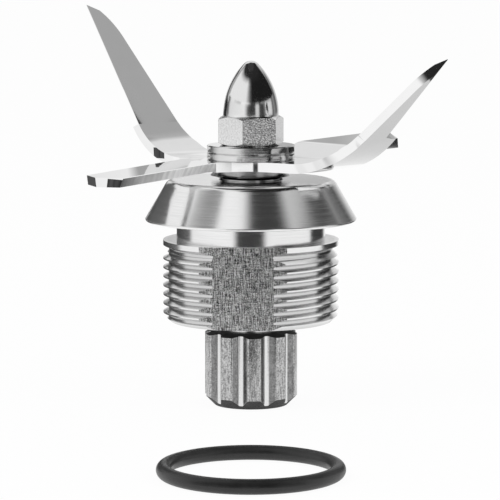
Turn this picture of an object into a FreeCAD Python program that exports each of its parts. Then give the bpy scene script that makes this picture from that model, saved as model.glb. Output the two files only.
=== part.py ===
"""Blade assembly for a blender jar: bent cross blade, spindle, bearings, seal, threaded housing, drive gear.

Millimetres, +Z up. The origin is on the spindle's axis at the bottom face of the drive gear,
and the assembly stands upright on that face. The loose sealing ring lies on the same
surface in front of it.
"""

import FreeCAD, Part

import math
import os

from FreeCAD import Vector

# Fits between neighbouring pieces
slip_fit = 0.02
ball_play = 0.03
thread_play = 0.03

# Spindle
shaft_radius = 4.0
shaft_flat_half_width = 3.25
shaft_end_chamfer = 0.6
shaft_bottom_z = 1.5
shaft_top_reach = 10.5
driver_slot_width = 1.2
driver_slot_depth = 1.6

# Drive gear
gear_tooth_count = 10
gear_outer_radius = 10.35
gear_root_radius = 9.15
gear_height = 16.5
gear_groove_top_width = 2.25
gear_groove_floor_width = 1.5
gear_corner_round = 0.35
gear_nose_radius = 8.15
gear_nose_height = 1.8
gear_top_chamfer = 0.45
gear_hub_chamfer = 0.8
gear_turn_deg = -86.0

# Spacers on the spindle and in the bore
gear_spacer_length = 5.1
spacer_outer_radius = 6.0
bearing_spacing = 8.2
bore_spacer_wall = 1.4

# Ball bearings, 8 x 22 x 7
bearing_outer_radius = 11.0
bearing_width = 7.0
inner_ring_outer_radius = 6.05
outer_ring_inner_radius = 8.95
ball_count = 7
ball_radius = 1.9845
ball_circle_radius = 7.5
cage_inner_radius = 6.6
cage_outer_radius = 8.4
cage_height = 5.0
cage_pocket_play = 0.06
shield_seat_radius = 9.5
shield_seat_depth = 0.5
shield_thickness = 0.3
shield_inner_radius = 6.3
ring_corner_chamfer = 0.3

# Retaining ring for the lower bearing, 22 x 1
clip_thickness = 1.0
clip_groove_width = 1.1
clip_groove_radius = 11.5
clip_inner_radius = 9.6
clip_gap_half_deg = 16.0
clip_ear_radius = 1.45
clip_ear_hole_radius = 0.7
clip_ear_circle_radius = 9.4

# Bearing housing
thread_major_radius = 19.5
thread_pitch = 2.0
thread_depth = 1.25
thread_crest_width = 0.3
thread_root_width = 0.5
housing_bottom_clearance = 2.4
housing_bottom_chamfer = 1.5
thread_length = 15.7
relief_radius = 18.2
relief_length = 0.5
land_height = 1.1
wrench_flat_across = 34.0
wrench_flat_deg = -95.9
neck_radius = 16.5
neck_height = 4.2
cone_bottom_radius = 23.7
cone_top_radius = 18.4
cone_height = 9.1
cone_edge_round = 0.4
cone_top_fillet = 2.0
top_web_thickness = 1.5
top_hole_radius = 7.1
bore_mouth_chamfer = 0.5

# Lip seal, 13 x 22 x 5
seal_height = 5.0
seal_case_wall = 0.8
seal_case_web = 0.6
seal_case_hole_radius = 8.0
seal_lip_gap = 0.06
seal_lip_outer_radius = 8.0
seal_lip_root_thickness = 0.9
spring_coil_radius = 0.55
garter_spring_rise = 1.8

# Flanged collar under the blade
collar_hub_radius = 6.5
collar_nose_radius = 5.6
collar_nose_height = 0.8
collar_rim_radius = 9.0
collar_rim_height = 7.5
collar_under_cone_height = 0.75
collar_seat_radius = 7.6
collar_total_height = 8.9

# Blade plate
blade_thickness = 2.1
blade_half_width = 6.5
blade_waist_fillet = 8.0
blade_notch_fillet = 0.6
raised_bevel_width = 3.6
low_bevel_width = 1.2
edge_land = 0.15
bevel_run_in = 0.5

# Raised wings, in the flat pattern: angles are seen from above, anticlockwise from +X
taper_start = 21.0
tip_cut_length = 2.0
tip_cut_depth = 3.0
tip_sweep_length = 10.0
tip_sweep_middle = 1.6
tip_sweep_side = -0.1
left_raised_azimuth = 143.1
left_raised_skew = -9.8
left_raised_bend_line = 13.67
left_raised_bend_radius = 11.85
left_raised_bend_deg = 65.8
left_raised_length = 59.5
right_raised_azimuth = -30.7
right_raised_skew = -12.4
right_raised_bend_line = 15.31
right_raised_bend_radius = 16.75
right_raised_bend_deg = 52.8
right_raised_length = 54.7

# Low wings: the left one dips, the right one steps up in a joggle
left_low_azimuth = 202.5
left_low_skew = 4.0
left_low_bend_line = 12.0
left_low_bend_radius = 10.0
left_low_slope_deg = 7.2
left_low_length = 36.2
left_low_square_end = 1.0
left_low_corner_cut = 3.7
left_low_ground_from = 10.9
right_low_azimuth = 22.0
right_low_skew = 25.0
right_low_bend_line = 10.4
joggle_radius = 2.5
joggle_deg = 45.0
joggle_web = 1.5
right_low_slope_deg = 5.5
right_low_length = 36.7
right_low_end_slant = 3.2
right_low_ground_from = 22.0

# Washers and cap nut
washer_outer_radius = 9.75
washer_bore_radius = 4.2
washer_thickness = 1.6
washer_edge_round = 0.2
nut_across_flats = 13.0
nut_hex_height = 6.5
nut_dome_radius = 6.15
nut_dome_arc_radius = 16.4
nut_tip_radius = 2.2
nut_bore_depth = 12.0
nut_chamfer_deg = 30.0
nut_turn_deg = -74.0

# Loose sealing ring
ring_inner_radius = 15.5
ring_cord_radius = 1.5
ring_distance = 82.0

# Levels along the axis
gear_spacer_z = gear_height
lower_bearing_z = gear_spacer_z + gear_spacer_length
upper_bearing_z = lower_bearing_z + bearing_width + bearing_spacing
seal_z = upper_bearing_z + bearing_width
bore_top_z = seal_z + seal_height
housing_top_z = bore_top_z + top_web_thickness
cone_bottom_z = housing_top_z - cone_height
land_top_z = cone_bottom_z - neck_height
housing_bottom_z = gear_height + housing_bottom_clearance
blade_z = seal_z + collar_total_height
washer_z = blade_z + blade_thickness
nut_z = washer_z + 2 * washer_thickness
bore_radius = bearing_outer_radius + slip_fit
shaft_bore_radius = shaft_radius + slip_fit

ORIGIN = Vector(0, 0, 0)
UP = Vector(0, 0, 1)


def lathe(outline):
    """Solid of revolution about Z from (radius, z) corners."""
    corners = [Vector(radius, 0, z) for radius, z in outline]
    wire = Part.makePolygon(corners + corners[:1])
    return Part.Face(wire).revolve(ORIGIN, UP, 360)


def tube(inner, outer, bottom, top):
    return lathe([(inner, bottom), (outer, bottom), (outer, top), (inner, top)])


def prism(corners, height):
    """Straight solid on a closed polygon of Vectors, raised along Z."""
    wire = Part.makePolygon(corners + corners[:1])
    return Part.Face(wire).extrude(UP * height)


def turned(shape, degrees):
    copy = shape.copy()
    copy.rotate(ORIGIN, UP, degrees)
    return copy


def edges_where(shape, test):
    return [edge for edge in shape.Edges if test(edge)]


def is_vertical(edge):
    if len(edge.Vertexes) != 2:
        return False
    start = edge.Vertexes[0].Point
    end = edge.Vertexes[1].Point
    flat_distance = math.hypot(end.x - start.x, end.y - start.y)
    return flat_distance < 1e-6 and abs(end.z - start.z) > 0.1


def radius_of(edge):
    point = edge.Vertexes[0].Point
    return math.hypot(point.x, point.y)


def make_spindle():
    top_z = nut_z + shaft_top_reach
    chamfer = shaft_end_chamfer
    shaft = lathe([
        (0, shaft_bottom_z),
        (shaft_radius - chamfer, shaft_bottom_z),
        (shaft_radius, shaft_bottom_z + chamfer),
        (shaft_radius, top_z - chamfer),
        (shaft_radius - chamfer, top_z),
        (0, top_z),
    ])
    flat_length = top_z - blade_z
    for side in (1, -1):
        y_start = shaft_flat_half_width if side > 0 else -shaft_flat_half_width - shaft_radius
        flat = Part.makeBox(
            4 * shaft_radius, shaft_radius, flat_length + 1,
            Vector(-2 * shaft_radius, y_start, blade_z))
        shaft = shaft.cut(flat)
    slot = Part.makeBox(
        4 * shaft_radius, driver_slot_width, driver_slot_depth + 1,
        Vector(-2 * shaft_radius, -driver_slot_width / 2, shaft_bottom_z - 1))
    return shaft.cut(slot)


def make_drive_gear():
    """Ten broad teeth with narrow straight grooves, a tapered nose and a threaded bore."""
    blank = Part.makeCylinder(gear_outer_radius, gear_height)
    reach = 2.0
    slope = (gear_groove_top_width - gear_groove_floor_width) / (gear_outer_radius - gear_root_radius)
    mouth = gear_groove_floor_width + slope * (gear_outer_radius + reach - gear_root_radius)
    groove = prism([
        Vector(gear_root_radius, -gear_groove_floor_width / 2, 0),
        Vector(gear_outer_radius + reach, -mouth / 2, 0),
        Vector(gear_outer_radius + reach, mouth / 2, 0),
        Vector(gear_root_radius, gear_groove_floor_width / 2, 0),
    ], gear_height)
    step = 360.0 / gear_tooth_count
    grooves = [turned(groove, step * (index + 0.5)) for index in range(gear_tooth_count)]
    gear = blank.cut(grooves)
    corners = edges_where(gear, lambda edge: is_vertical(edge)
                          and abs(radius_of(edge) - gear_outer_radius) < 0.01
                          and len(edge.Vertexes) == 2)
    seam = [edge for edge in corners if edge.Vertexes[0].Point.y == 0]
    gear = gear.makeFillet(gear_corner_round, [edge for edge in corners if edge not in seam])
    envelope = lathe([
        (shaft_bore_radius + gear_hub_chamfer, 0),
        (gear_nose_radius, 0),
        (gear_outer_radius, gear_nose_height),
        (gear_outer_radius + 1, gear_nose_height),
        (gear_outer_radius + 1, gear_height),
        (gear_outer_radius - gear_top_chamfer, gear_height),
        (shaft_bore_radius, gear_height),
        (shaft_bore_radius, gear_hub_chamfer),
    ])
    top_cone = lathe([
        (0, 0),
        (gear_outer_radius + 1, 0),
        (gear_outer_radius + 1, gear_height - gear_top_chamfer - 1),
        (gear_outer_radius - gear_top_chamfer, gear_height),
        (0, gear_height),
    ])
    gear = gear.common(envelope).common(top_cone)
    return turned(gear, gear_turn_deg)


def make_inner_ring(bottom):
    chamfer = ring_corner_chamfer
    ring = lathe([
        (shaft_bore_radius, bottom + chamfer),
        (shaft_bore_radius + chamfer, bottom),
        (inner_ring_outer_radius, bottom),
        (inner_ring_outer_radius, bottom + bearing_width),
        (shaft_bore_radius + chamfer, bottom + bearing_width),
        (shaft_bore_radius, bottom + bearing_width - chamfer),
    ])
    return ring.cut(make_race(bottom))


def make_outer_ring(bottom):
    chamfer = ring_corner_chamfer
    top = bottom + bearing_width
    ring = lathe([
        (shield_seat_radius, bottom),
        (bearing_outer_radius - chamfer, bottom),
        (bearing_outer_radius, bottom + chamfer),
        (bearing_outer_radius, top - chamfer),
        (bearing_outer_radius - chamfer, top),
        (shield_seat_radius, top),
        (shield_seat_radius, top - shield_seat_depth),
        (outer_ring_inner_radius, top - shield_seat_depth),
        (outer_ring_inner_radius, bottom + shield_seat_depth),
        (shield_seat_radius, bottom + shield_seat_depth),
    ])
    return ring.cut(make_race(bottom))


def make_race(bottom):
    """The groove that the balls run in, a little larger than a ball."""
    centre = Vector(0, 0, bottom + bearing_width / 2)
    return Part.makeTorus(ball_circle_radius, ball_radius + ball_play, centre, UP)


def make_balls(bottom):
    balls = []
    for index in range(ball_count):
        angle = 2 * math.pi * index / ball_count
        centre = Vector(
            ball_circle_radius * math.cos(angle),
            ball_circle_radius * math.sin(angle),
            bottom + bearing_width / 2)
        balls.append(Part.makeSphere(ball_radius, centre))
    return Part.makeCompound(balls)


def make_cage(bottom):
    """A machined ring with one round window for each ball."""
    middle = bottom + bearing_width / 2
    cage = tube(cage_inner_radius, cage_outer_radius, middle - cage_height / 2, middle + cage_height / 2)
    window = Part.makeCylinder(
        ball_radius + cage_pocket_play, 2 * cage_outer_radius,
        Vector(0, 0, middle), Vector(1, 0, 0))
    windows = [turned(window, 360.0 * index / ball_count) for index in range(ball_count)]
    return cage.cut(windows)


def make_shields(bottom):
    """Two thin discs, each against the step at its end of the outer ring."""
    outer = shield_seat_radius - slip_fit
    low_top = bottom + shield_seat_depth
    high_bottom = bottom + bearing_width - shield_seat_depth
    low = tube(shield_inner_radius, outer, low_top - shield_thickness, low_top)
    high = tube(shield_inner_radius, outer, high_bottom, high_bottom + shield_thickness)
    return Part.makeCompound([low, high])


def make_inner_spacer():
    bottom = lower_bearing_z + bearing_width
    return tube(shaft_bore_radius, spacer_outer_radius, bottom, bottom + bearing_spacing)


def make_outer_spacer():
    bottom = lower_bearing_z + bearing_width
    inner = bearing_outer_radius - bore_spacer_wall
    return tube(inner, bearing_outer_radius, bottom, bottom + bearing_spacing)


def make_gear_spacer():
    return tube(shaft_bore_radius, spacer_outer_radius, gear_spacer_z, gear_spacer_z + gear_spacer_length)


def make_retaining_ring():
    """Open spring ring in the bore's groove, with an eyelet at each end for the pliers."""
    top = lower_bearing_z
    bottom = top - clip_thickness
    ring = tube(clip_inner_radius, clip_groove_radius - slip_fit, bottom, top)
    reach = 2 * clip_groove_radius
    half_angle = math.radians(clip_gap_half_deg)
    gap = prism([
        Vector(0, 0, bottom),
        Vector(reach * math.cos(half_angle), -reach * math.sin(half_angle), bottom),
        Vector(reach * math.cos(half_angle), reach * math.sin(half_angle), bottom),
    ], clip_thickness)
    ring = ring.cut(gap)
    for side in (1, -1):
        angle = side * (half_angle + clip_ear_radius / clip_ear_circle_radius)
        centre = Vector(
            clip_ear_circle_radius * math.cos(angle),
            clip_ear_circle_radius * math.sin(angle),
            bottom)
        ear = Part.makeCylinder(clip_ear_radius, clip_thickness, centre, UP)
        hole = Part.makeCylinder(clip_ear_hole_radius, clip_thickness, centre, UP)
        ring = ring.fuse(ear).cut(hole)
    return ring.removeSplitter()


def make_housing_blank():
    """Turned body: bore with bearing seat, threaded barrel, land, neck and cone flange."""
    thread_top_z = housing_bottom_z + thread_length
    relief_top_z = thread_top_z + relief_length
    land_flank = thread_major_radius - relief_radius
    body = lathe([
        (bore_radius + bore_mouth_chamfer, housing_bottom_z),
        (thread_major_radius - housing_bottom_chamfer, housing_bottom_z),
        (thread_major_radius, housing_bottom_z + housing_bottom_chamfer),
        (thread_major_radius, thread_top_z - land_flank),
        (relief_radius, thread_top_z),
        (relief_radius, relief_top_z),
        (thread_major_radius, land_top_z - land_height),
        (thread_major_radius, land_top_z),
        (neck_radius, land_top_z),
        (neck_radius, cone_bottom_z),
        (cone_bottom_radius, cone_bottom_z),
        (cone_top_radius, housing_top_z),
        (top_hole_radius, housing_top_z),
        (top_hole_radius, bore_top_z),
        (bore_radius, bore_top_z),
        (bore_radius, lower_bearing_z),
        (clip_groove_radius, lower_bearing_z),
        (clip_groove_radius, lower_bearing_z - clip_groove_width),
        (bore_radius, lower_bearing_z - clip_groove_width),
        (bore_radius, housing_bottom_z + bore_mouth_chamfer),
    ])
    top_rim = edges_where(body, lambda edge: abs(edge.BoundBox.ZLength) < 1e-6
                          and abs(edge.Vertexes[0].Point.z - housing_top_z) < 1e-6
                          and abs(radius_of(edge) - cone_top_radius) < 1e-3)
    body = body.makeFillet(cone_top_fillet, top_rim)
    low_rim = edges_where(body, lambda edge: abs(edge.BoundBox.ZLength) < 1e-6
                          and abs(edge.Vertexes[0].Point.z - cone_bottom_z) < 1e-6
                          and abs(radius_of(edge) - cone_bottom_radius) < 1e-3)
    return body.makeFillet(cone_edge_round, low_rim)


def make_thread_cutter():
    """Right-hand helical groove, open below the barrel and ending in the relief."""
    start_z = housing_bottom_z - thread_pitch
    length = thread_length + relief_length / 2 + thread_pitch
    root_radius = thread_major_radius - thread_depth
    helix = Part.makeHelix(thread_pitch, length, root_radius)
    helix.translate(Vector(0, 0, start_z))
    overshoot = 0.6
    flank = (thread_pitch - thread_crest_width - thread_root_width) / 2
    mouth_half = thread_root_width / 2 + flank * (1 + overshoot / thread_depth)
    section = Part.makePolygon([
        Vector(root_radius, 0, start_z - thread_root_width / 2),
        Vector(thread_major_radius + overshoot, 0, start_z - mouth_half),
        Vector(thread_major_radius + overshoot, 0, start_z + mouth_half),
        Vector(root_radius, 0, start_z + thread_root_width / 2),
        Vector(root_radius, 0, start_z - thread_root_width / 2),
    ])
    return Part.Wire(helix).makePipeShell([section], True, True)


def make_wrench_flat():
    """Block that mills one flat across the thread and the land, clear of the neck above."""
    across = 2 * thread_major_radius
    return Part.makeBox(
        thread_major_radius, across, land_top_z + neck_height / 2 - housing_bottom_z + 1,
        Vector(wrench_flat_across / 2, -across / 2, housing_bottom_z - 1))


def make_bearing_housing():
    housing = make_housing_blank().cut(make_thread_cutter())
    for side in (0, 180):
        housing = housing.cut(turned(make_wrench_flat(), wrench_flat_deg + side))
    return housing


def make_seal_case():
    outer = bearing_outer_radius
    inner = bearing_outer_radius - seal_case_wall
    web_z = bore_top_z - seal_case_web
    return lathe([
        (inner, seal_z),
        (outer, seal_z),
        (outer, bore_top_z),
        (seal_case_hole_radius, bore_top_z),
        (seal_case_hole_radius, web_z),
        (inner, web_z),
    ])


def make_seal_lip():
    """Rubber lip bonded under the case's web, reaching down to the collar's hub."""
    outer = bearing_outer_radius - seal_case_wall
    lip = collar_hub_radius + seal_lip_gap
    web_z = bore_top_z - seal_case_web
    spring_z = seal_z + garter_spring_rise
    return lathe([
        (seal_case_hole_radius - 0.6, web_z),
        (seal_case_hole_radius - 0.9, web_z - 1.2),
        (lip, spring_z - 0.2),
        (lip + 0.8, seal_z + 0.6),
        (seal_lip_outer_radius, seal_z + 0.8),
        (seal_lip_outer_radius, web_z - seal_lip_root_thickness - 0.4),
        (seal_lip_outer_radius + 0.6, web_z - seal_lip_root_thickness),
        (outer, web_z - seal_lip_root_thickness),
        (outer, web_z),
    ])


def make_garter_spring():
    ring_radius = seal_lip_outer_radius + slip_fit + spring_coil_radius
    return Part.makeTorus(ring_radius, spring_coil_radius, Vector(0, 0, seal_z + garter_spring_rise), UP)


def make_blade_collar():
    """Sharp-rimmed flange with a conical top and underside on a hub that runs in the seal."""
    rim_z = seal_z + collar_rim_height
    return lathe([
        (shaft_bore_radius, seal_z),
        (collar_nose_radius, seal_z),
        (collar_nose_radius, seal_z + collar_nose_height),
        (collar_hub_radius, seal_z + collar_nose_height + 0.4),
        (collar_hub_radius, rim_z - collar_under_cone_height),
        (collar_rim_radius, rim_z),
        (collar_seat_radius, blade_z),
        (shaft_bore_radius, blade_z),
    ])


class Wing:
    """One arm of the blade in its flat pattern: s runs outwards along it, t to the anticlockwise side.

    The bend lines lie square to a direction that is skewed from the arm's own. Each bend is its
    distance in that direction from the axis or from the end of the bend before it, its inside
    radius and its angle, positive upwards.
    """

    def __init__(self, azimuth, skew, bends, outline, trailing_edge, ground_from, bevel_width):
        self.azimuth = azimuth
        self.skew = skew
        self.bends = bends
        self.outline = outline
        self.trailing_edge = trailing_edge
        self.ground_from = ground_from
        self.bevel_width = bevel_width

    def skewed(self, s, t):
        turn = math.radians(self.skew)
        return s * math.cos(turn) + t * math.sin(turn), t * math.cos(turn) - s * math.sin(turn)

    def edge_y(self, corners, x):
        """Where an edge of the flat pattern crosses a line that is parallel to the bends."""
        placed = [self.skewed(s, t) for s, t in corners]
        for (x0, y0), (x1, y1) in zip(placed, placed[1:]):
            if x <= x1:
                break
        return y0 + (y1 - y0) * (x - x0) / (x1 - x0)


def segment(start, end):
    return Part.LineSegment(Vector(*start, 0), Vector(*end, 0)).toShape()


def raised_outline(length):
    """A long wing: straight leading edge, end cut back, and a trailing edge that sweeps in to it."""
    half = blade_half_width
    cut = (length - tip_cut_length, half - tip_cut_depth)
    middle = (length - tip_sweep_length / 2, tip_sweep_middle)
    sweep_end = (length - tip_sweep_length, tip_sweep_side)
    arc = Part.Arc(Vector(*cut, 0), Vector(*middle, 0), Vector(*sweep_end, 0)).toShape()
    return [
        segment((0, half), (length, half)),
        segment((length, half), cut),
        arc,
        segment(sweep_end, (taper_start, -half)),
        segment((taper_start, -half), (0, -half)),
        segment((0, -half), (0, half)),
    ]


def cornered_outline(corners):
    half = blade_half_width
    ring = [(0, -half)] + corners + [(0, half)]
    return [segment(start, end) for start, end in zip(ring, ring[1:] + ring[:1])]


def raised_wing(azimuth, skew, bend_line, bend_radius, bend_deg, length):
    half = blade_half_width
    bend_end = bend_line + (bend_radius + blade_thickness / 2) * math.radians(bend_deg)
    return Wing(
        azimuth, skew, [(bend_line, bend_radius, bend_deg)], raised_outline(length),
        [(0, -half), (taper_start, -half), (length - tip_sweep_length, tip_sweep_side)],
        bend_end + half * math.tan(math.radians(abs(skew))) + bevel_run_in, raised_bevel_width)


def low_wing(azimuth, skew, bends, corners, ground_from):
    half = blade_half_width
    return Wing(
        azimuth, skew, bends, cornered_outline(corners), [(0, -half), corners[0]], ground_from,
        low_bevel_width)


def make_blade_wings():
    half = blade_half_width
    left_corners = [
        (left_low_length, -half),
        (left_low_length, -left_low_square_end),
        (left_low_length - left_low_corner_cut, half),
    ]
    right_corners = [(right_low_length - right_low_end_slant, -half), (right_low_length, half)]
    joggle = [
        (right_low_bend_line, joggle_radius, joggle_deg),
        (joggle_web, joggle_radius, right_low_slope_deg - joggle_deg),
    ]
    drop = [(left_low_bend_line, left_low_bend_radius, -left_low_slope_deg)]
    return [
        raised_wing(
            left_raised_azimuth, left_raised_skew, left_raised_bend_line,
            left_raised_bend_radius, left_raised_bend_deg, left_raised_length),
        raised_wing(
            right_raised_azimuth, right_raised_skew, right_raised_bend_line,
            right_raised_bend_radius, right_raised_bend_deg, right_raised_length),
        low_wing(left_low_azimuth, left_low_skew, drop, left_corners, left_low_ground_from),
        low_wing(right_low_azimuth, right_low_skew, joggle, right_corners, right_low_ground_from),
    ]


def blade_section(wing, x, ground):
    """Cross section of the plate parallel to the bends, as (y, height above the lower face)."""
    half = blade_half_width
    far = 2 * left_raised_length
    back = wing.edge_y(wing.trailing_edge, x)
    front = wing.edge_y([(0, half), (far, half)], x)
    if not ground:
        return [(back, 0), (back, blade_thickness), (front, blade_thickness), (front, 0)]
    return [
        (back, 0), (back, blade_thickness), (front, blade_thickness),
        (front, blade_thickness - edge_land),
        (front - wing.bevel_width / math.cos(math.radians(wing.skew)), 0),
    ]


def make_flat_pattern(wing):
    """The wing's plate before bending, with the underside of its leading edge ground away."""
    half = blade_half_width
    far = 2 * left_raised_length
    plate = Part.Face(Part.Wire(wing.outline)).extrude(UP * blade_thickness)
    slope = (blade_thickness - edge_land) / wing.bevel_width
    corners = [
        Vector(wing.ground_from, half - wing.bevel_width, 0),
        Vector(wing.ground_from, half, blade_thickness - edge_land),
        Vector(wing.ground_from, half + 1, blade_thickness - edge_land + slope),
        Vector(wing.ground_from, half + 1, -1),
        Vector(wing.ground_from, half - wing.bevel_width - 1 / slope, -1),
    ]
    wedge = Part.Face(Part.makePolygon(corners + corners[:1])).extrude(Vector(far, 0, 0))
    return turned(plate.cut(wedge), -wing.skew)


def plate_between(pattern, start, end):
    far = 2 * left_raised_length
    slab = Part.makeBox(end - start, 2 * far, 3 * blade_thickness, Vector(start, -far, -blade_thickness))
    return pattern.common(slab)


def fold(shape, start, foot, angle):
    """Takes a plate of the flat pattern to where the bends before it put it."""
    shape = shape.copy()
    shape.translate(Vector(-start, 0, 0))
    shape.rotate(ORIGIN, Vector(0, -1, 0), math.degrees(angle))
    shape.translate(foot)
    return shape


def make_wing(wing):
    """Returns the level root and the list of folded plates and bends beyond it, at the wing's azimuth."""
    pattern = make_flat_pattern(wing)
    far = 2 * left_raised_length
    start = -far
    foot = Vector(-far, 0, 0)
    angle = 0.0
    pieces = []
    flat_x = 0.0
    for distance, radius, degrees in wing.bends:
        bend_x = flat_x + distance
        pieces.append(fold(plate_between(pattern, start, bend_x), start, foot, angle))
        foot = foot + Vector(math.cos(angle), 0, math.sin(angle)) * (bend_x - start)
        turn = math.radians(degrees)
        side = 1 if turn > 0 else -1
        offset = radius + blade_thickness if turn > 0 else radius
        normal = Vector(-math.sin(angle), 0, math.cos(angle))
        centre = foot + normal * offset * side
        length = (radius + blade_thickness / 2) * abs(turn)
        ground = wing.ground_from < bend_x
        steps = 3 + int(abs(degrees) / 8)
        sections = []
        for index in range(steps + 1):
            share = index / steps
            here = angle + turn * share
            normal = Vector(-math.sin(here), 0, math.cos(here))
            points = []
            for y, height in blade_section(wing, bend_x + length * share, ground):
                spot = centre - normal * side * (offset - side * height)
                points.append(Vector(spot.x, y, spot.z))
            sections.append(Part.makePolygon(points + points[:1]))
        pieces.append(Part.makeLoft(sections, True, False))
        angle += turn
        normal = Vector(-math.sin(angle), 0, math.cos(angle))
        foot = centre - normal * side * offset
        flat_x = bend_x + length
        start = flat_x
    pieces.append(fold(plate_between(pattern, start, 2 * far), start, foot, angle))
    placed = [turned(piece, wing.azimuth + wing.skew) for piece in pieces]
    return placed[0], placed[1:]


def round_hub_corners(hub, wings):
    """Rounds the inside corners where neighbouring wings meet: wide at the waist, tight in the notches."""
    order = sorted(wings, key=lambda wing: wing.azimuth % 360)
    for wing, neighbour in zip(order, order[1:] + order[:1]):
        gap = (neighbour.azimuth - wing.azimuth) % 360
        middle = math.radians(wing.azimuth + gap / 2)
        distance = blade_half_width / math.sin(math.radians(gap / 2))
        corner = Vector(distance * math.cos(middle), distance * math.sin(middle), 0)
        radius = blade_waist_fillet if gap > 90 else blade_notch_fillet

        def at_corner(edge):
            spot = edge.CenterOfMass
            return is_vertical(edge) and math.hypot(spot.x - corner.x, spot.y - corner.y) < 0.05

        hub = hub.makeFillet(radius, edges_where(hub, at_corner))
    return hub


def make_blade():
    """One plate: a waisted hub, four bent and ground wings, and a two-flat hole for the spindle."""
    wings = make_blade_wings()
    roots = []
    folded = []
    for wing in wings:
        root, outer_pieces = make_wing(wing)
        roots.append(root)
        folded.extend(outer_pieces)
    hub = roots[0].multiFuse(roots[1:]).removeSplitter()
    hub = round_hub_corners(hub, wings)
    blade = hub.multiFuse(folded).removeSplitter()
    hole = Part.makeCylinder(shaft_bore_radius, 3 * blade_thickness, Vector(0, 0, -blade_thickness))
    flat = shaft_flat_half_width + slip_fit
    key = Part.makeBox(
        4 * shaft_radius, 2 * flat, 3 * blade_thickness,
        Vector(-2 * shaft_radius, -flat, -blade_thickness))
    blade = blade.cut(hole.common(key))
    blade.translate(Vector(0, 0, blade_z))
    return blade


def make_washer(bottom):
    top = bottom + washer_thickness
    edge = washer_edge_round
    return lathe([
        (washer_bore_radius, bottom),
        (washer_outer_radius - edge, bottom),
        (washer_outer_radius, bottom + edge),
        (washer_outer_radius, top - edge),
        (washer_outer_radius - edge, top),
        (washer_bore_radius, top),
    ])


def make_cap_nut():
    """Hexagon with chamfered corners under a bullet-shaped dome, on a blind bore."""
    across_corners = nut_across_flats / math.cos(math.radians(30)) / 2
    points = []
    for index in range(6):
        angle = math.radians(nut_turn_deg + 30 + 60 * index)
        points.append(Vector(across_corners * math.cos(angle), across_corners * math.sin(angle), nut_z))
    hexagon = prism(points, nut_hex_height)
    shoulder_z = nut_z + nut_hex_height
    overhang = across_corners + 1
    slope = math.tan(math.radians(nut_chamfer_deg))
    bottom_flat = nut_across_flats / 2 - 0.1
    envelope = lathe([
        (0, nut_z),
        (bottom_flat, nut_z),
        (overhang, nut_z + (overhang - bottom_flat) * slope),
        (overhang, shoulder_z - (overhang - nut_dome_radius) * slope),
        (nut_dome_radius, shoulder_z),
        (0, shoulder_z),
    ])
    hexagon = hexagon.common(envelope)
    arc_centre_x = nut_dome_radius - nut_dome_arc_radius
    tip_offset = math.sqrt((nut_dome_arc_radius - nut_tip_radius) ** 2 - arc_centre_x ** 2)
    tip_angle = math.atan2(tip_offset, -arc_centre_x)

    def dome_point(angle):
        x = arc_centre_x + nut_dome_arc_radius * math.cos(angle)
        return Vector(x, 0, shoulder_z + nut_dome_arc_radius * math.sin(angle))

    tip_centre_z = shoulder_z + tip_offset
    tip_middle = (tip_angle + math.pi / 2) / 2
    tip_point = Vector(
        nut_tip_radius * math.cos(tip_middle), 0, tip_centre_z + nut_tip_radius * math.sin(tip_middle))
    apex = Vector(0, 0, tip_centre_z + nut_tip_radius)
    base = Vector(nut_dome_radius, 0, shoulder_z)
    centre = Vector(0, 0, shoulder_z)
    outline = [
        Part.LineSegment(centre, base).toShape(),
        Part.Arc(base, dome_point(tip_angle / 2), dome_point(tip_angle)).toShape(),
        Part.Arc(dome_point(tip_angle), tip_point, apex).toShape(),
        Part.LineSegment(apex, centre).toShape(),
    ]
    dome = Part.Face(Part.Wire(outline)).revolve(ORIGIN, UP, 360)
    bore = lathe([
        (0, nut_z),
        (shaft_radius + thread_play + 0.5, nut_z),
        (shaft_radius + thread_play, nut_z + 0.5),
        (shaft_radius + thread_play, nut_z + nut_bore_depth),
        (0, nut_z + nut_bore_depth + shaft_radius * 0.5),
    ])
    return hexagon.fuse(dome).cut(bore)


def make_o_ring():
    """Sealing ring for the neck, lying loose in front of the assembly."""
    centre = Vector(0, -ring_distance, ring_cord_radius)
    return Part.makeTorus(ring_inner_radius + ring_cord_radius, ring_cord_radius, centre, UP)


def make_parts():
    parts = {
        "cap_nut": make_cap_nut(),
        "upper_washer": make_washer(washer_z + washer_thickness),
        "lower_washer": make_washer(washer_z),
        "blade": make_blade(),
        "blade_collar": make_blade_collar(),
        "spindle": make_spindle(),
        "bearing_housing": make_bearing_housing(),
        "seal_case": make_seal_case(),
        "seal_lip": make_seal_lip(),
        "garter_spring": make_garter_spring(),
        "inner_spacer": make_inner_spacer(),
        "outer_spacer": make_outer_spacer(),
        "gear_spacer": make_gear_spacer(),
        "retaining_ring": make_retaining_ring(),
        "drive_gear": make_drive_gear(),
        "o_ring": make_o_ring(),
    }
    for name, bottom in (("upper", upper_bearing_z), ("lower", lower_bearing_z)):
        parts[name + "_bearing_inner_ring"] = make_inner_ring(bottom)
        parts[name + "_bearing_outer_ring"] = make_outer_ring(bottom)
        parts[name + "_bearing_balls"] = make_balls(bottom)
        parts[name + "_bearing_cage"] = make_cage(bottom)
        parts[name + "_bearing_shields"] = make_shields(bottom)
    return parts


os.makedirs("parts", exist_ok=True)
for node, shape in make_parts().items():
    if not shape.isValid():
        print("not valid:", node)
    print(node, "solids", len(shape.Solids), "volume", round(shape.Volume, 2))
    shape.exportStep("parts/" + node + ".step")
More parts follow.
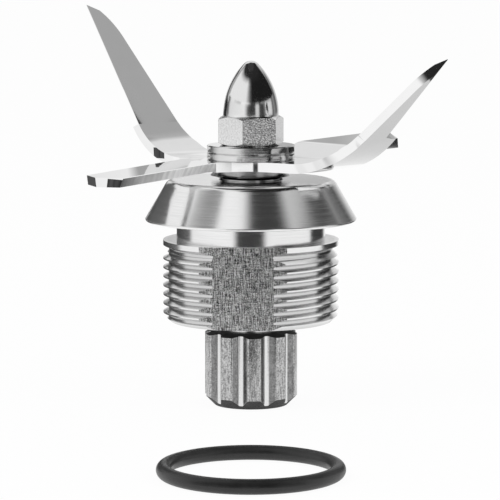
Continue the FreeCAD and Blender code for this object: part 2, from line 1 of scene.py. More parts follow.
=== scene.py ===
import math
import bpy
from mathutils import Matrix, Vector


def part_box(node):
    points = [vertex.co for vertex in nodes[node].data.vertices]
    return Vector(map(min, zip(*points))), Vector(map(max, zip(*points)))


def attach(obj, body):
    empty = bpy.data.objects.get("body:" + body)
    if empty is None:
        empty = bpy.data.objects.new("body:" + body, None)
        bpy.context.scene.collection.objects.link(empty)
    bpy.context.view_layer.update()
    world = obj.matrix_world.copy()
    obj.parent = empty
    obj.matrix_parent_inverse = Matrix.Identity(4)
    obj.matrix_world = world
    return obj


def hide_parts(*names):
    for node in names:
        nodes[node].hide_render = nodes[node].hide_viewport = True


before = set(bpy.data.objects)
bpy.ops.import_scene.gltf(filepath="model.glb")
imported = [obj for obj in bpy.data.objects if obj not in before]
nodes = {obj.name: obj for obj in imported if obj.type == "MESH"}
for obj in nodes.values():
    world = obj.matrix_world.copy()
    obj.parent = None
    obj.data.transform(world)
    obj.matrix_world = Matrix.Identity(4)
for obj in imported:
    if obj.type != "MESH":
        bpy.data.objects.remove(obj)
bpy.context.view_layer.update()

from types import SimpleNamespace

import bpy
from mathutils import Vector

MM = 0.001

# Camera
camera_pitch_deg = 6.9
camera_distance = 622 * MM
camera_target = Vector((0, 0, 34.5 * MM))
camera_lens = 201.6
camera_sensor = 36
camera_shift = -0.002
camera_clip_start = 0.01
camera_clip_end = 50

# Lamps
lamp_width = 0.35
key_place = (-0.45, -0.35, 0.6)
key_power = 1.2
fill_place = (0.5, -0.3, 0.45)
fill_power = 0.6

# Floor and surroundings
floor_half_width = 6.0
floor_glow = 0.95
floor_tone = (0.95, 0.97)
floor_fibres = 60.0
ambient_level = 0.85

# Reflectors. Bearings are in degrees from the viewer's side, positive to the right.
full_turn = (-180, 180)
tent_radius = 115 * MM
tent_bottom = 0.5 * MM
tent_height = 400 * MM
tent_steps = 96
tent_zones_mm = (
    (41.3, 42.3), (44.8, 45.6), (50.0, 52.0), (58.0, 62.0),
    (92.0, 104.0), (128.0, 140.0), (196.0, 215.0),
)
ceiling_tone = 0.05
ceiling_steps = 48
flag_radius = 29 * MM
flag_bottom = 75.2 * MM
flag_top = 150 * MM
flag_bearings = (-128, 117)
flag_steps = 60
flag_dark_from = (98 * MM, 114 * MM)
flag_top_tone = 0.02
lid_tone = 0.04
lid_steps = 32
card_inner_radius = 50 * MM
card_height = 1 * MM
card_bearings = (92, 158)
card_steps = 24

# Spans of a noise's value that a remap stretches, from gentle to sharp
noise_span = (0.3, 0.7)
streak_span = (0.35, 0.65)
satin_span = (0.38, 0.62)
pore_span = (0.4, 0.6)
pit_span = (0.42, 0.58)
milled_span = (0.44, 0.57)

# Blade
low_wing_top_z = 57.5 * MM
notch_radius = (20.4 * MM, 23.3 * MM)
notch_z = (54.3 * MM, 56.7 * MM)
corner_radius = (31 * MM, 34.55 * MM)
corner_top_z = 51.85 * MM
bevel_fade_radius = (33 * MM, 21 * MM)
bevel_up_most = -0.4
bevel_slope_least = 0.62
wall_up = (-0.2, 0.0)
trailing_least = 0.4
blade_tone = (0.93, 0.95)
blade_roughness = (0.035, 0.06)
blade_cloud_per_mm = 0.3
blade_bump_mm = 0.004
# The ground bevel's tone is a painted reflection, dark at its outer end and white at its inner end
bevel_reflection_tone = (0.12, 0.95)
bevel_roughness = 0.3
streaks_per_mm = 1.4
streak_bend = 3 * MM
streak_contrast = (0.8, 1.05)
# Painted shade on the walls of the notch and of the cut corner
wall_shade_tone = (0.03, 0.09)

# Cap nut
hexagon_height = 6.45 * MM
hexagon_top_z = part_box("cap_nut")[0].z + hexagon_height
grainy_face_deg = -74
grainy_faces = 3
nut_edge = 0.16 * MM
nut_edge_samples = 8
dome_tone = 0.92
dome_roughness = (0.08, 0.15)
dome_rings_per_mm = 2.6
dome_relief = 0.12
nut_grain_per_mm = 3.6
satin_relief = 3.0
grainy_relief = 7.0
satin_roughness = (0.05, 0.12)
satin_tone = (0.74, 0.96)
grainy_tone = (0.35, 1.0)
# Painted shade along the hexagon's edges and creases
edge_shade_span = (0.88, 0.98)
edge_shade_tone = (0.12, 1.0)
nut_bump_mm = 0.008

# Bearing housing
wrench_flat_deg = -95.9
wrench_flat_distance = 17.0 * MM
wrench_flat_play = 0.02 * MM
thread_major_radius = 19.5 * MM
thread_root_radius = 18.25 * MM
land_top_z = 37.05 * MM
housing_rings_per_mm = 4.5
housing_ring_drift = 0.4 * MM
housing_tone = (0.84, 0.93)
# Painted shade: the thread darkens towards its roots
thread_shade_tone = (0.66, 0.9)
housing_roughness = (0.12, 0.22)
housing_relief = 0.4
milled_lines_per_mm = 5.0
milled_lines_stretch = 0.08
milled_cross_per_mm = 4.0
milled_cross_stretch = 0.12
milled_cross_share = 0.35
milled_pits_per_mm = 4.5
milled_pits_share = 0.4
milled_tone = (0.06, 1.0)
milled_roughness = (0.3, 0.45)
milled_relief = 5.0
housing_bump_mm = 0.012

# Drive gear
gear_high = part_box("drive_gear")[1]
gear_teeth = 10
gear_steps = 480
gear_outer_radius = 10.35 * MM
gear_root_radius = 9.0 * MM
gear_groove_deg = 22
gear_floor_half_deg = 2.5
gear_mouth_half_deg = 10.6
gear_corner_deg = 1.8
gear_corner_samples = 7
gear_nose_radius = 8.15 * MM
gear_nose_height = 2.2 * MM
gear_top_radius = 8.6 * MM
gear_top_chamfer = 0.45 * MM
gear_bore_radius = 4.02 * MM
gear_hub_chamfer = 0.8 * MM
gear_sharp_deg = 25
drawn_lines_per_mm = 2.4
drawn_stretch = 0.15
gear_pores_per_mm = 2.6
gear_pores_share = 0.6
gear_end_up = 0.1
tooth_top_radius = (gear_outer_radius - 0.25 * MM, gear_outer_radius - 0.1 * MM)
groove_floor_radius = (gear_root_radius + 0.08 * MM, gear_root_radius + 0.25 * MM)
# Tooth tops keep their grain; the bright groove floors are a painted reflection and the darker flanks
# painted shade
tooth_top_tone = (0.2, 0.64)
flank_shade_tone = (0.14, 0.34)
groove_floor_reflection_tone = (0.74, 0.86)
# Painted shade on the gear's end faces, and a painted black shadow on its top face under the housing
end_shade_tone = (0.02, 0.07)
gear_top_shadow_tone = 0.01
gear_roughness = (0.12, 0.3)
end_shade_roughness = 0.7
gear_bump_mm = 0.03

# Turned metal and rubber
turned_drift = 0.25 * MM
turned_cloud_per_mm = 0.12
turned_fine_share = 0.6
turned_dark_share = 0.9
edge_samples = 6
rubber_skin_per_mm = 4.0
rubber_dust_per_mm = 0.25
rubber_dust_stops = (0.35, 0.7)
rubber_dust_shares = (0.8, 1.3)
rubber_roughness_rise = 0.12
rubber_bump_mm = 0.004

scene = bpy.context.scene


class Shader:
    """A node tree with short calls for the few kinds of node used here."""

    def __init__(self, tree):
        self.tree = tree
        self.tree.nodes.clear()

    def add(self, kind, **settings):
        node = self.tree.nodes.new(kind)
        for key, value in settings.items():
            setattr(node, key, value)
        return node

    def put(self, socket, value):
        if isinstance(value, bpy.types.NodeSocket):
            self.tree.links.new(value, socket)
        else:
            socket.default_value = value

    def math(self, operation, a, b=0.0):
        node = self.add("ShaderNodeMath", operation=operation)
        self.put(node.inputs[0], a)
        self.put(node.inputs[1], b)
        return node.outputs[0]

    def times(self, first, *others):
        for other in others:
            first = self.math("MULTIPLY", first, other)
        return first

    def over(self, value, limit):
        """1 where value > limit, else 0."""
        return self.math("GREATER_THAN", value, limit)

    def under(self, value, limit):
        """1 where value < limit, else 0."""
        return self.math("LESS_THAN", value, limit)

    def inside(self, value, span):
        """1 where value lies in the span, else 0."""
        low, high = span
        return self.times(self.over(value, low), self.under(value, high))

    def vector(self, x, y, z):
        node = self.add("ShaderNodeCombineXYZ")
        for socket, value in zip(node.inputs, (x, y, z)):
            self.put(socket, value)
        return node.outputs[0]

    def grey(self, tone):
        return self.vector(tone, tone, tone)

    def noise(self, where, scale, detail=3.0, rough=0.55):
        node = self.add("ShaderNodeTexNoise")
        self.put(node.inputs["Vector"], where)
        self.put(node.inputs["Scale"], scale)
        self.put(node.inputs["Detail"], detail)
        self.put(node.inputs["Roughness"], rough)
        return node.outputs["Fac"]

    def ramp(self, value, stops):
        node = self.add("ShaderNodeValToRGB")
        self.put(node.inputs["Fac"], value)
        ramp = node.color_ramp
        while len(ramp.elements) < len(stops):
            ramp.elements.new(0.5)
        for element, (place, level) in zip(ramp.elements, stops):
            element.position = place
            tone = level if isinstance(level, tuple) else (level, level, level)
            element.color = (*tone, 1.0)
        return node.outputs["Color"]

    def remap(self, value, span, to_span=(0.0, 1.0)):
        node = self.add("ShaderNodeMapRange")
        self.put(node.inputs["Value"], value)
        limits = (*span, *to_span)
        for key, number in zip(("From Min", "From Max", "To Min", "To Max"), limits):
            node.inputs[key].default_value = number
        return node.outputs[0]

    def between(self, share, first, second):
        """first + share * (second - first), on plain numbers."""
        step = self.math("SUBTRACT", second, first)
        return self.math("ADD", first, self.times(share, step))

    def facing(self):
        """The surface normal in object space, by X, Y and Z."""
        parts = self.add("ShaderNodeSeparateXYZ")
        self.put(parts.inputs[0], self.add("ShaderNodeTexCoord").outputs["Normal"])
        return parts.outputs

    def place(self):
        """Object place, radius from the spindle axis and angle round it."""
        where = self.add("ShaderNodeTexCoord").outputs["Object"]
        parts = self.add("ShaderNodeSeparateXYZ")
        self.put(parts.inputs[0], where)
        x, y, z = parts.outputs
        squares = self.math("ADD", self.times(x, x), self.times(y, y))
        radius = self.math("SQRT", squares)
        angle = self.math("ARCTAN2", y, x)
        return SimpleNamespace(where=where, x=x, y=y, z=z, radius=radius, angle=angle)


def at_bearing(radius, degrees, z):
    turn = math.radians(degrees)
    return (radius * math.sin(turn), -radius * math.cos(turn), z)


def new_material(name):
    material = bpy.data.materials.new(name)
    material.use_nodes = True
    return material, Shader(material.node_tree)


def finish_surface(shader, colour, roughness, height, bump_mm, metallic, edge_mm=0.0):
    surface = shader.add("ShaderNodeBsdfPrincipled")
    shader.put(surface.inputs["Base Color"], colour)
    shader.put(surface.inputs["Roughness"], roughness)
    shader.put(surface.inputs["Metallic"], metallic)
    relief = shader.add("ShaderNodeBump")
    relief.inputs["Strength"].default_value = 1.0
    relief.inputs["Distance"].default_value = bump_mm * MM
    shader.put(relief.inputs["Height"], height)
    if edge_mm > 0:
        rounding = shader.add("ShaderNodeBevel", samples=edge_samples)
        rounding.inputs["Radius"].default_value = edge_mm * MM
        shader.put(relief.inputs["Normal"], rounding.outputs[0])
    shader.put(surface.inputs["Normal"], relief.outputs["Normal"])
    output = shader.add("ShaderNodeOutputMaterial")
    shader.put(output.inputs["Surface"], surface.outputs["BSDF"])


def turned_steel(name, tone, roughness, rings_per_mm, bump_mm, warmth=0.0, edge_mm=0.0):
    """Bare metal with fine turned rings; warmth takes blue out of it."""
    material, shader = new_material(name)
    at = shader.place()
    rings = shader.vector(at.radius, shader.times(at.angle, turned_drift), at.z)
    fine = shader.noise(rings, rings_per_mm / MM, detail=2.0, rough=0.6)
    broad = shader.noise(at.where, turned_cloud_per_mm / MM)
    fine_part = shader.times(fine, turned_fine_share)
    spread = shader.math("ADD", fine_part, shader.times(broad, 1.0 - turned_fine_share))
    dark, light = (
        tuple(tone * part for part in (share, share, share - warmth))
        for share in (turned_dark_share, 1.0)
    )
    low, high = noise_span
    colour = shader.ramp(spread, ((low, dark), (high, light)))
    rough = shader.remap(spread, noise_span, roughness)
    finish_surface(shader, colour, rough, fine, bump_mm, 1.0, edge_mm)
    return material


def rubber(name, tone, roughness):
    """Smooth dark rubber with a little dust."""
    material, shader = new_material(name)
    at = shader.place()
    skin = shader.noise(at.where, rubber_skin_per_mm / MM, rough=0.6)
    dust = shader.noise(at.where, rubber_dust_per_mm / MM, detail=4.0, rough=0.6)
    stops = [(stop, tone * share) for stop, share in zip(rubber_dust_stops, rubber_dust_shares)]
    colour = shader.ramp(dust, stops)
    rough = shader.remap(dust, noise_span, (roughness, roughness + rubber_roughness_rise))
    finish_surface(shader, colour, rough, skin, rubber_bump_mm, 0.0)
    return material


def blade_steel(name):
    """Mirror-polished plate; the bevels under the low wings are ground, with streaks across the edge, and
    their tone, dark metal at the outer end and white at the inner end, is a painted reflection; the walls of
    the notch and the cut corner carry painted shade.
    """
    material, shader = new_material(name)
    at = shader.place()
    cloud = shader.noise(at.where, blade_cloud_per_mm / MM, detail=2.0)
    lines = shader.vector(at.radius, shader.times(at.angle, streak_bend), 0.0)
    streaks = shader.noise(lines, streaks_per_mm / MM, rough=0.6)
    across, towards, up = shader.facing()

    # The ground bevels, and the walls of the notch and of the cut corner, which get painted shade
    sideways = shader.over(shader.math("ABSOLUTE", towards), bevel_slope_least)
    low = shader.under(at.z, low_wing_top_z)
    ground = shader.times(shader.under(up, bevel_up_most), sideways, low)
    notch = shader.times(shader.inside(at.radius, notch_radius), shader.inside(at.z, notch_z))
    corner = shader.times(shader.inside(at.radius, corner_radius), shader.under(at.z, corner_top_z))
    trailing = shader.over(shader.times(across, towards), trailing_least)
    wall = shader.times(shader.inside(up, wall_up), trailing)
    wall_shade = shader.times(wall, shader.math("ADD", notch, corner))

    # Painted reflection: the ground bevels run from dark metal at their outer end to white, non-metal at
    # their inner end
    fade = shader.remap(at.radius, bevel_fade_radius)
    bevel_reflection = shader.remap(at.radius, bevel_fade_radius, bevel_reflection_tone)
    brushed = shader.times(bevel_reflection, shader.remap(streaks, streak_span, streak_contrast))
    tone = shader.between(ground, shader.remap(cloud, noise_span, blade_tone), brushed)
    tone = shader.between(wall_shade, tone, shader.remap(streaks, streak_span, wall_shade_tone))
    polish = shader.remap(cloud, noise_span, blade_roughness)
    rough = shader.between(ground, polish, bevel_roughness)
    metallic = shader.math("SUBTRACT", 1.0, shader.times(ground, fade))
    height = shader.times(streaks, ground)
    finish_surface(shader, shader.grey(tone), rough, height, blade_bump_mm, metallic)
    return material


def nut_steel(name):
    """Polished dome with faint turned rings over a satin, grainy hexagon with painted shade along its edges.
    """
    material, shader = new_material(name)
    at = shader.place()
    rings = shader.noise(shader.vector(at.radius, 0.0, at.z), dome_rings_per_mm / MM, detail=2.0, rough=0.5)
    grain = shader.noise(at.where, nut_grain_per_mm / MM, detail=2.0, rough=0.7)
    hexagon = shader.under(at.z, hexagon_top_z)

    # Every other face of the hexagon is grainy
    across, towards = shader.facing()[:2]
    facing_angle = shader.math("ARCTAN2", towards, across)
    turned = shader.math("SUBTRACT", facing_angle, math.radians(grainy_face_deg))
    grainy = shader.over(shader.math("COSINE", shader.times(turned, grainy_faces)), 0.0)
    satin = shader.remap(grain, satin_span, satin_tone)
    cut = shader.between(grainy, satin, shader.remap(grain, pit_span, grainy_tone))
    relief = shader.times(grain, shader.between(grainy, satin_relief, grainy_relief))

    # Painted shade: the hexagon darkens where the rounded normal turns away from the face, along its edges
    # and creases
    rounding = shader.add("ShaderNodeBevel", samples=nut_edge_samples)
    rounding.inputs["Radius"].default_value = nut_edge
    turned_away = shader.add("ShaderNodeVectorMath", operation="DOT_PRODUCT")
    shader.put(turned_away.inputs[0], rounding.outputs[0])
    shader.put(turned_away.inputs[1], shader.add("ShaderNodeNewGeometry").outputs["Normal"])
    edge_shade = shader.remap(turned_away.outputs["Value"], edge_shade_span, edge_shade_tone)

    tone = shader.between(hexagon, dome_tone, shader.times(cut, edge_shade))
    polished = shader.remap(rings, noise_span, dome_roughness)
    rough = shader.between(hexagon, polished, shader.remap(grain, noise_span, satin_roughness))
    height = shader.between(hexagon, shader.times(rings, dome_relief), relief)
    finish_surface(shader, shader.grey(tone), rough, height, nut_bump_mm, 1.0)
    return material


def housing_steel(name):
    """Fine turned lines, darker towards the thread's roots as painted shade, and a coarse grain on the
    milled flats.
    """
    material, shader = new_material(name)
    at = shader.place()
    rings = shader.vector(at.radius, shader.times(at.angle, housing_ring_drift), at.z)
    lines = shader.noise(rings, housing_rings_per_mm / MM, rough=0.65)

    # The milled flats lie at their distance from the axis, below the land
    turn = math.radians(wrench_flat_deg)
    east, north = shader.times(at.x, math.cos(turn)), shader.times(at.y, math.sin(turn))
    outwards = shader.math("ABSOLUTE", shader.math("ADD", east, north))
    east, north = shader.times(at.x, math.sin(turn)), shader.times(at.y, math.cos(turn))
    sideways = shader.math("SUBTRACT", north, east)
    reach = shader.math("ABSOLUTE", shader.math("SUBTRACT", outwards, wrench_flat_distance))
    below = shader.under(at.z, land_top_z)
    flat = shader.times(below, shader.under(reach, wrench_flat_play))

    upright = shader.vector(sideways, 0.0, shader.times(at.z, milled_lines_stretch))
    upright = shader.noise(upright, milled_lines_per_mm / MM, detail=2.0, rough=0.6)
    cross = shader.vector(shader.times(sideways, milled_cross_stretch), 0.0, at.z)
    cross = shader.noise(cross, milled_cross_per_mm / MM, detail=2.0, rough=0.6)
    pits = shader.noise(at.where, milled_pits_per_mm / MM, detail=2.0, rough=0.7)
    weave = shader.between(milled_cross_share, upright, cross)
    grain = shader.between(milled_pits_share, weave, pits)

    # Painted shade: darker towards the thread's roots
    thread_root_shade = shader.remap(at.radius, (thread_root_radius, thread_major_radius), thread_shade_tone)
    bright = shader.between(below, shader.remap(lines, noise_span, housing_tone), thread_root_shade)
    tone = shader.between(flat, bright, shader.remap(grain, milled_span, milled_tone))
    fine = shader.remap(lines, noise_span, housing_roughness)
    rough = shader.between(flat, fine, shader.remap(grain, noise_span, milled_roughness))
    relief = shader.times(lines, housing_relief)
    height = shader.between(flat, relief, shader.times(grain, milled_relief))
    finish_surface(shader, shader.grey(tone), rough, height, housing_bump_mm, 1.0)
    return material


def gear_radius(bearing_deg):
    """The gear's outline: narrow groove floors, sloping flanks and slightly rounded corners."""
    pitch = 360 / gear_teeth
    total = 0.0
    for index in range(gear_corner_samples):
        shift = gear_corner_deg * (index / (gear_corner_samples - 1) - 0.5)
        offset = (bearing_deg + shift - gear_groove_deg + pitch / 2) % pitch - pitch / 2
        rise = (abs(offset) - gear_floor_half_deg) / (gear_mouth_half_deg - gear_floor_half_deg)
        total += gear_root_radius + (gear_outer_radius - gear_root_radius) * min(max(rise, 0.0), 1.0)
    return total / gear_corner_samples


def gear_piece(name):
    """The toothed gear as one closed mesh of rings, each ring following the outline as far as it reaches."""
    points = []
    for index in range(gear_steps):
        bearing = 360 * index / gear_steps
        edge = gear_radius(bearing)
        nose_share = (edge - gear_nose_radius) / (gear_outer_radius - gear_nose_radius)
        top_share = (edge - gear_top_radius) / (gear_outer_radius - gear_top_radius)
        rings = (
            (gear_bore_radius + gear_hub_chamfer, 0.0),
            (gear_nose_radius, 0.0),
            (edge, gear_nose_height * nose_share),
            (edge, gear_high.z - gear_top_chamfer * top_share),
            (gear_top_radius, gear_high.z),
            (gear_bore_radius, gear_high.z),
            (gear_bore_radius, gear_hub_chamfer),
        )
        points += [at_bearing(radius, bearing, z) for radius, z in rings]
    faces = []
    for index in range(gear_steps):
        here = index * len(rings)
        there = (index + 1) % gear_steps * len(rings)
        for ring in range(len(rings)):
            above = (ring + 1) % len(rings)
            faces.append((here + ring, there + ring, there + above, here + above))
    mesh = bpy.data.meshes.new(name)
    mesh.from_pydata(points, [], faces)
    mesh.shade_smooth()
    mesh.set_sharp_from_angle(angle=math.radians(gear_sharp_deg))
    gear = bpy.data.objects.new(name, mesh)
    scene.collection.objects.link(gear)
    return gear


def gear_steel(name):
    """Sintered metal with grainy tooth tops and smooth groove floors; the bright groove floors are a painted
    reflection, the darker flanks painted shade, and both end faces carry painted shade, black on the top
    face under the housing.
    """
    material, shader = new_material(name)
    at = shader.place()
    around = shader.times(at.angle, at.radius)
    drawn = shader.vector(around, 0.0, shader.times(at.z, drawn_stretch))
    drawn = shader.noise(drawn, drawn_lines_per_mm / MM, detail=2.0, rough=0.6)
    pores = shader.noise(at.where, gear_pores_per_mm / MM, rough=0.75)
    grain = shader.between(gear_pores_share, drawn, pores)
    # Painted shade: faces turned up or down are darkened and made non-metal, and the top face is painted
    # black as the housing's shadow
    up = shader.facing()["Z"]
    upwards = shader.over(up, gear_end_up)
    end_shade = shader.math("ADD", upwards, shader.under(up, -gear_end_up))
    unshaded = shader.math("SUBTRACT", 1.0, end_shade)
    # Painted reflection and shade: groove floors bright, flanks dark, by radius
    top = shader.remap(at.radius, tooth_top_radius)
    floor_share = shader.remap(at.radius, groove_floor_radius, (1.0, 0.0))
    worn = shader.remap(grain, pore_span, tooth_top_tone)
    side = shader.between(top, shader.remap(grain, pore_span, flank_shade_tone), worn)
    side = shader.between(floor_share, side, shader.remap(grain, noise_span, groove_floor_reflection_tone))
    tone = shader.between(end_shade, side, shader.remap(grain, pore_span, end_shade_tone))
    tone = shader.between(upwards, tone, gear_top_shadow_tone)
    rough = shader.between(end_shade, shader.remap(grain, noise_span, gear_roughness), end_shade_roughness)
    height = shader.times(grain, shader.math("SUBTRACT", 1.0, floor_share))
    finish_surface(shader, shader.grey(tone), rough, height, gear_bump_mm, unshaded)
    return material


def dress(material, *names):
    for name in names:
        slots = nodes[name].data.materials
        if len(slots) == 0:
            slots.append(material)
        for index in range(len(slots)):
            slots[index] = material


# Metal pieces
dress(blade_steel("blade_polish"), "blade")
dress(nut_steel("nut_polish"), "cap_nut")
washer_metal = turned_steel(
    "washer_satin", tone=0.84, roughness=(0.05, 0.12), rings_per_mm=5.0, bump_mm=0.003, edge_mm=0.12
)
dress(washer_metal, "upper_washer", "lower_washer")
collar_metal = turned_steel(
    "collar_turned", tone=0.72, roughness=(0.12, 0.2), rings_per_mm=4.0, bump_mm=0.004
)
dress(collar_metal, "blade_collar", "spindle")
dress(housing_steel("housing_turned"), "bearing_housing")

gear = gear_piece("gear_teeth")
gear.data.materials.append(gear_steel("gear_sintered"))
dress(gear.data.materials[0], "drive_gear")
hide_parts("drive_gear")
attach(gear, "rotor")

bearing_metal = turned_steel(
    "bearing_ground", tone=0.75, roughness=(0.12, 0.22), rings_per_mm=4.0, bump_mm=0.002
)
bearing_pieces = [
    f"{place}_bearing_{piece}"
    for place in ("upper", "lower")
    for piece in ("inner_ring", "outer_ring", "balls", "shields")
]
dress(bearing_metal, "seal_case", "garter_spring", "inner_spacer", "outer_spacer")
dress(bearing_metal, "gear_spacer", "retaining_ring", *bearing_pieces)
cage_metal = turned_steel(
    "cage_brass", tone=0.78, roughness=(0.25, 0.4), rings_per_mm=4.0, bump_mm=0.004, warmth=0.4
)
dress(cage_metal, "upper_bearing_cage", "lower_bearing_cage")

# Rubber pieces
dress(rubber("ring_rubber", tone=0.019, roughness=0.33), "o_ring")
dress(rubber("seal_rubber", tone=0.025, roughness=0.45), "seal_lip")

# Floor
floor_mesh = bpy.data.meshes.new("floor")
signs = ((-1, -1), (1, -1), (1, 1), (-1, 1))
corners = [(i * floor_half_width, j * floor_half_width, 0) for i, j in signs]
floor_mesh.from_pydata(corners, [], [(0, 1, 2, 3)])
floor = bpy.data.objects.new("floor", floor_mesh)
scene.collection.objects.link(floor)


def seen_directly(shader):
    """1 for camera, glossy and transmission rays, else 0."""
    path = shader.add("ShaderNodeLightPath").outputs
    shown = shader.math("MAXIMUM", path["Is Camera Ray"], path["Is Glossy Ray"])
    return shader.math("MAXIMUM", shown, path["Is Transmission Ray"])


floor_material, shader = new_material("floor_paper")
shown = seen_directly(shader)
paper = shader.add("ShaderNodeBsdfDiffuse")
object_place = shader.add("ShaderNodeTexCoord").outputs["Object"]
fibres = shader.noise(object_place, floor_fibres)
shader.put(paper.inputs["Color"], shader.ramp(fibres, list(zip(noise_span, floor_tone))))
glow = shader.add("ShaderNodeEmission")
glow.inputs["Strength"].default_value = 1.0
mix = shader.add("ShaderNodeMixShader")
shader.put(mix.inputs[0], shader.times(shown, floor_glow))
shader.put(mix.inputs[1], paper.outputs[0])
shader.put(mix.inputs[2], glow.outputs[0])
output = shader.add("ShaderNodeOutputMaterial")
shader.put(output.inputs["Surface"], mix.outputs[0])
floor_mesh.materials.append(floor_material)

# World: white where it is seen, plain where it lights
world = bpy.data.worlds.new("studio")
scene.world = world
world.use_nodes = True
shader = Shader(world.node_tree)
backdrop = shader.add("ShaderNodeBackground")
seen_share = shader.times(seen_directly(shader), 1.0 - ambient_level)
shader.put(backdrop.inputs["Strength"], shader.math("ADD", seen_share, ambient_level))
output = shader.add("ShaderNodeOutputWorld")
shader.put(output.inputs["Surface"], backdrop.outputs[0])


def band(near, far, bearings, steps):
    """Points and faces of a strip between two (radius, z) rims, from one bearing to another."""
    first, last = bearings
    points = []
    for radius, z in (near, far):
        for index in range(steps + 1):
            points.append(at_bearing(radius, first + (last - first) * index / steps, z))
    faces = [(i, i + 1, i + steps + 2, i + steps + 1) for i in range(steps)]
    return points, faces


def reflector(name, near, far, bearings, steps):
    """A sheet that only reflections show: its shader, its bearing as 0 to 1 of a turn, and its z."""
    mesh = bpy.data.meshes.new(name)
    points, faces = band(near, far, bearings, steps)
    mesh.from_pydata(points, [], faces)
    thing = bpy.data.objects.new(name, mesh)
    scene.collection.objects.link(thing)
    thing.visible_camera = False
    thing.visible_diffuse = False
    thing.visible_transmission = False
    thing.visible_shadow = False
    material, shader = new_material(name + "_paper")
    mesh.materials.append(material)
    at = shader.place()
    bearing = shader.math("ARCTAN2", at.x, shader.times(at.y, -1.0))
    turn = shader.math("ADD", shader.math("DIVIDE", bearing, 2 * math.pi), 0.5)
    return shader, turn, at.z


def shine(shader, tone):
    light = shader.add("ShaderNodeEmission")
    shader.put(light.inputs["Color"], shader.grey(tone))
    output = shader.add("ShaderNodeOutputMaterial")
    shader.put(output.inputs["Surface"], light.outputs[0])


def strip_tone(shader, turn, strips):
    return shader.ramp(turn, [(degrees / 360 + 0.5, level) for degrees, level in strips])


# The tent: a ring of paper with light and dark strips, as (bearing, level), in zones from low to high
strips_by_zone = (
    (
        (-180, 1.0), (-166, 1.0), (-160, 0.05), (-124, 0.08), (-104, 0.14), (-96, 0.9), (-26, 0.97),
        (-19, 0.03), (16, 0.03), (23, 0.93), (96, 0.93), (101, 0.04), (138, 0.04), (146, 0.6),
        (154, 1.0), (180, 1.0),
    ),
    (
        (-180, 0.9), (-66, 0.97), (-37, 0.95), (-34, 0.04), (-23, 0.04), (-20, 0.95), (38, 0.95),
        (46, 0.02), (84, 0.03), (110, 0.5), (180, 0.9),
    ),
    (
        (-180, 0.7), (-170, 0.6), (-160, 0.08), (-135, 0.08), (-118, 0.2), (-102, 0.6), (-88, 0.8),
        (-45, 0.85), (-30, 0.78), (-15, 0.2), (0, 0.08), (15, 0.05), (30, 0.01), (60, 0.01),
        (100, 0.05), (135, 0.42), (158, 0.8), (180, 0.7),
    ),
    (
        (-180, 0.7), (-170, 0.6), (-160, 0.08), (-135, 0.08), (-118, 0.2), (-102, 0.7), (-60, 0.95),
        (-20, 0.75), (6, 0.55), (17, 0.5), (29, 0.62), (31.5, 0.16), (36, 0.06), (52, 0.03),
        (100, 0.05), (120, 0.3), (140, 0.5), (158, 0.8), (180, 0.7),
    ),
    (
        (-180, 0.86), (-168, 0.84), (-167, 0.36), (-162.8, 0.36), (-162.2, 0.84), (-156, 0.8),
        (-150, 0.1), (-122, 0.12), (-108, 0.18), (-99, 0.72), (-28, 0.84), (-12, 0.1), (0, 0.035),
        (16, 0.06), (21, 0.62), (31, 0.62), (36, 0.08), (50, 0.04), (60, 0.2), (66, 0.72), (94, 0.65),
        (102, 0.12), (108, 0.12), (112, 0.3), (117, 0.17), (124, 0.15), (132, 0.08), (142, 0.4),
        (152, 0.62), (164, 0.62), (170, 0.4), (180, 0.5),
    ),
    (
        (-180, 0.84), (-168, 0.3), (-156, 0.08), (-138, 0.09), (-108, 0.2), (-97, 0.9), (-84, 0.92),
        (-74, 0.5), (-58, 0.34), (-46, 0.34), (-41, 0.95), (-14, 0.95), (-4, 0.3), (2, 0.05),
        (38, 0.05), (50, 0.44), (60, 0.2), (72, 0.2), (84, 0.09), (100, 0.05), (108, 0.12),
        (115, 0.36), (124, 0.25), (134, 0.1), (142, 0.4), (152, 0.62), (168, 0.6), (180, 0.84),
    ),
    (
        (-180, 0.76), (-120, 0.76), (-104, 0.6), (-90, 0.75), (-80, 0.5), (-62, 0.3), (-46, 0.32),
        (-41, 0.95), (-12, 0.95), (-5, 0.5), (1, 0.08), (5, 0.05), (38, 0.05), (45, 0.3), (52, 0.6),
        (80, 0.5), (94, 0.38), (118, 0.38), (132, 0.45), (142, 0.74), (180, 0.76),
    ),
    (
        (-180, 0.78), (-122, 0.78), (-112, 0.2), (-64, 0.2), (-54, 0.9), (-28, 0.9), (-18, 0.02),
        (140, 0.02), (150, 0.7), (180, 0.78),
    ),
)
tent_foot, tent_rim = (tent_radius, tent_bottom), (tent_radius, tent_height)
shader, turn, z = reflector("tent", tent_foot, tent_rim, full_turn, tent_steps)
paper_tone = strip_tone(shader, turn, strips_by_zone[0])
for strips, (low, high) in zip(strips_by_zone[1:], tent_zones_mm):
    share = shader.remap(z, (low * MM, high * MM))
    paper_tone = shader.between(share, paper_tone, strip_tone(shader, turn, strips))
shine(shader, paper_tone)
shader = reflector("ceiling", tent_rim, (0.0, tent_height), full_turn, ceiling_steps)[0]
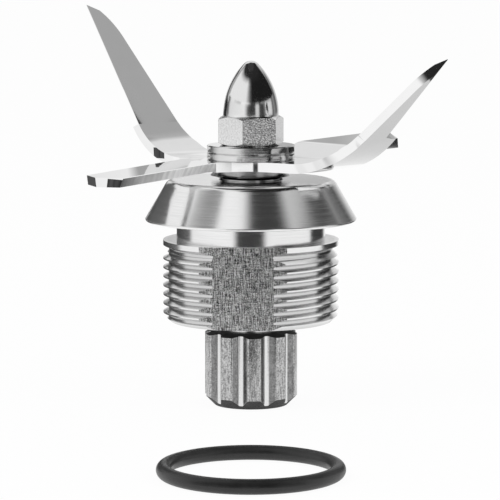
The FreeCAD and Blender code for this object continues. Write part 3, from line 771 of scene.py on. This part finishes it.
shine(shader, ceiling_tone)

# A small flag close to the nut: light on the left, dark on the right and above.
flag_strips = (
    (-128, 0.375), (-113, 0.38), (-107, 0.82), (-22, 0.82), (-13, 0.4), (-3, 0.08), (6, 0.012),
)
flag_foot, flag_rim = (flag_radius, flag_bottom), (flag_radius, flag_top)
shader, turn, z = reflector("flag", flag_foot, flag_rim, flag_bearings, flag_steps)
share = shader.remap(z, flag_dark_from)
shine(shader, shader.between(share, strip_tone(shader, turn, flag_strips), flag_top_tone))
shader = reflector("flag_lid", flag_rim, (0.0, flag_top), full_turn, lid_steps)[0]
shine(shader, lid_tone)

# A grey card lying low at the right, under the raised wing.
card_strips = ((92, 0.6), (112, 0.62), (130, 0.68), (145, 0.76), (158, 0.86))
card_near, card_far = (card_inner_radius, card_height), (tent_radius, card_height)
shader, turn = reflector("card", card_near, card_far, card_bearings, card_steps)[:2]
shine(shader, strip_tone(shader, turn, card_strips))


def soft_lamp(name, place, power):
    data = bpy.data.lights.new(name, "AREA")
    data.shape = "SQUARE"
    data.size = lamp_width
    data.energy = power
    lamp = bpy.data.objects.new(name, data)
    lamp.location = place
    lamp.rotation_mode = "QUATERNION"
    lamp.rotation_quaternion = (camera_target - Vector(place)).to_track_quat("-Z", "Y")
    scene.collection.objects.link(lamp)
    lamp.visible_glossy = False


# Lamps and camera
soft_lamp("key", key_place, key_power)
soft_lamp("fill", fill_place, fill_power)

camera_data = bpy.data.cameras.new("camera")
camera_data.lens = camera_lens
camera_data.sensor_width = camera_sensor
camera_data.shift_x = camera_shift
camera_data.clip_start = camera_clip_start
camera_data.clip_end = camera_clip_end
camera = bpy.data.objects.new("camera", camera_data)
scene.collection.objects.link(camera)
pitch = math.radians(camera_pitch_deg)
back = Vector((0, -math.cos(pitch), math.sin(pitch)))
camera.location = camera_target + back * camera_distance
camera.rotation_mode = "QUATERNION"
camera.rotation_quaternion = (-back).to_track_quat("-Z", "Y")
scene.camera = camera

scene.view_settings.view_transform = "Standard"
